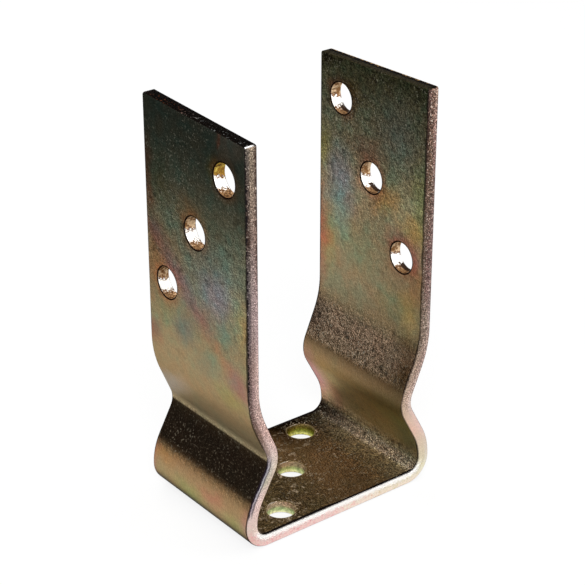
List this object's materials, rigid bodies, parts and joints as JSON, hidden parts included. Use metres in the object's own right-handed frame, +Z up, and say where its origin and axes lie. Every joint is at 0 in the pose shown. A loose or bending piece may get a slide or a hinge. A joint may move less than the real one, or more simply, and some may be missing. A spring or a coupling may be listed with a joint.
{
  "type": "u bracket",
  "caption": "U-shaped bracket bent from one flat steel strip, pinched to a neck above its base, with slanting rows of bolt holes through both wings and the base to hold a square post.",
  "frame": {"origin": "middle of the underside of the base", "axes": "+Z up along the wings, X from wing to wing, Y along the bends across the strip's width"},
  "size_m": [0.0874, 0.06, 0.1605],
  "materials": {
    "yellow_zinc_steel": "zinc plated and yellow passivated, iridescent olive, gold, blue and pink, with rough sheared edges"
  },
  "bodies": {
    "root": {"u_bracket": "yellow_zinc_steel"}
  },
  "joints": []
}
